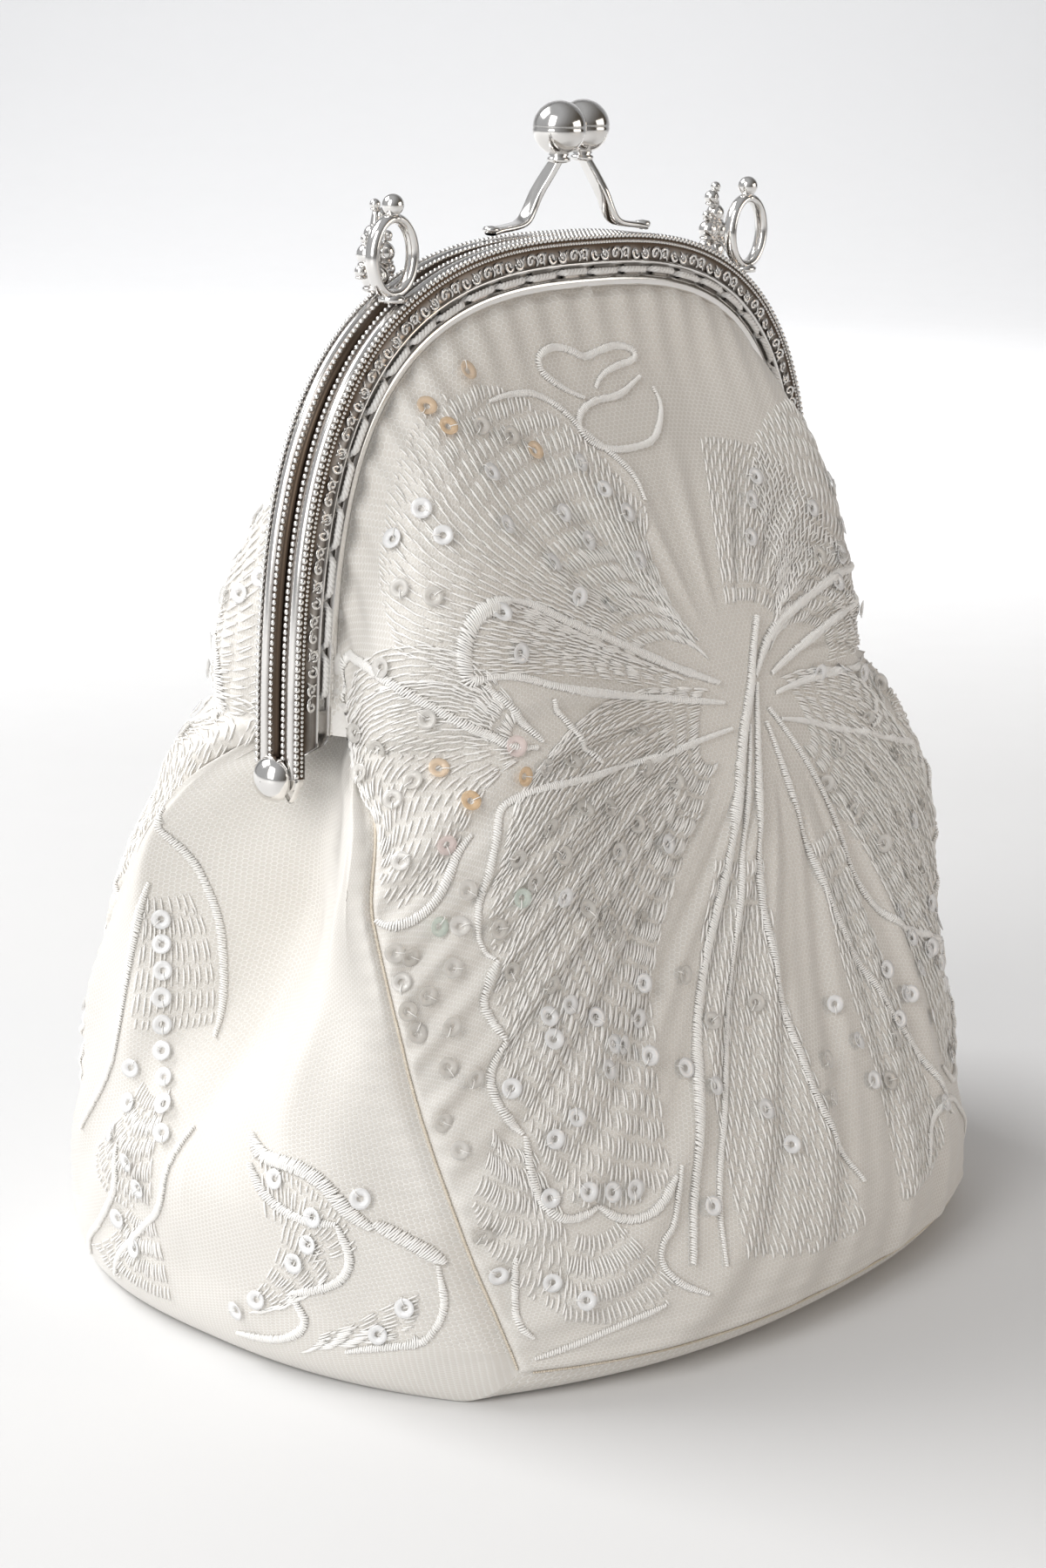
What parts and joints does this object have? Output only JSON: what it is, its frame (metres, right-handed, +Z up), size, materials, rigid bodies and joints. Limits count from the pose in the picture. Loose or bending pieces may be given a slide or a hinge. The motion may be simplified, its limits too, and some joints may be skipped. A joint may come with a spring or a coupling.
{
  "type": "evening bag",
  "caption": "Small evening bag with a gusseted embroidered satin body sewn to an arched metal frame that opens on two leg hinges and shuts with a crossed-ball clasp.",
  "frame": {"origin": "centre of the bag's footprint on the surface it stands on", "axes": "+Z up, X along the width of the frame, the front half of the frame at -Y"},
  "size_m": [0.1568, 0.116, 0.1793],
  "materials": {
    "frame_metal": "polished silver-tone plating, dark in its recesses",
    "embroidered_satin": "ivory satin under hexagonal tulle with satin-stitch embroidery and clear ring sequins",
    "lining_satin": "plain ivory satin",
    "sewing_thread": "white twisted sewing thread"
  },
  "bodies": {
    "bag_body": {"outer_front_panel": "embroidered_satin", "outer_rear_panel": "embroidered_satin", "outer_gusset": "embroidered_satin", "lining_front_panel": "lining_satin", "lining_rear_panel": "lining_satin", "lining_gusset": "lining_satin", "left_hinge_rivet": "frame_metal", "right_hinge_rivet": "frame_metal"},
    "front_half": {"front_frame": "frame_metal", "front_left_hinge_lug": "frame_metal", "front_right_hinge_lug": "frame_metal", "front_sewing_thread": "sewing_thread", "front_clasp_arm": "frame_metal", "front_clasp_ball": "frame_metal", "left_ear_loop": "frame_metal", "right_ear_loop": "frame_metal"},
    "rear_half": {"rear_frame": "frame_metal", "rear_left_hinge_lug": "frame_metal", "rear_right_hinge_lug": "frame_metal", "rear_sewing_thread": "sewing_thread", "rear_clasp_arm": "frame_metal", "rear_clasp_ball": "frame_metal", "left_ear_crest": "frame_metal", "right_ear_crest": "frame_metal"}
  },
  "joints": [
    {"name": "front_frame_hinge", "type": "hinge", "parent": "bag_body", "child": "front_half", "pos_m": [0, 0, 0.084], "axis": [1, 0, 0], "range_deg": [0, 35], "deforming": ["outer_front_panel", "outer_rear_panel", "outer_gusset", "lining_front_panel", "lining_rear_panel", "lining_gusset"]},
    {"name": "rear_frame_hinge", "type": "hinge", "parent": "bag_body", "child": "rear_half", "pos_m": [0, 0, 0.084], "axis": [-1, 0, 0], "range_deg": [0, 35], "deforming": ["outer_front_panel", "outer_rear_panel", "outer_gusset", "lining_front_panel", "lining_rear_panel", "lining_gusset"]}
  ]
}
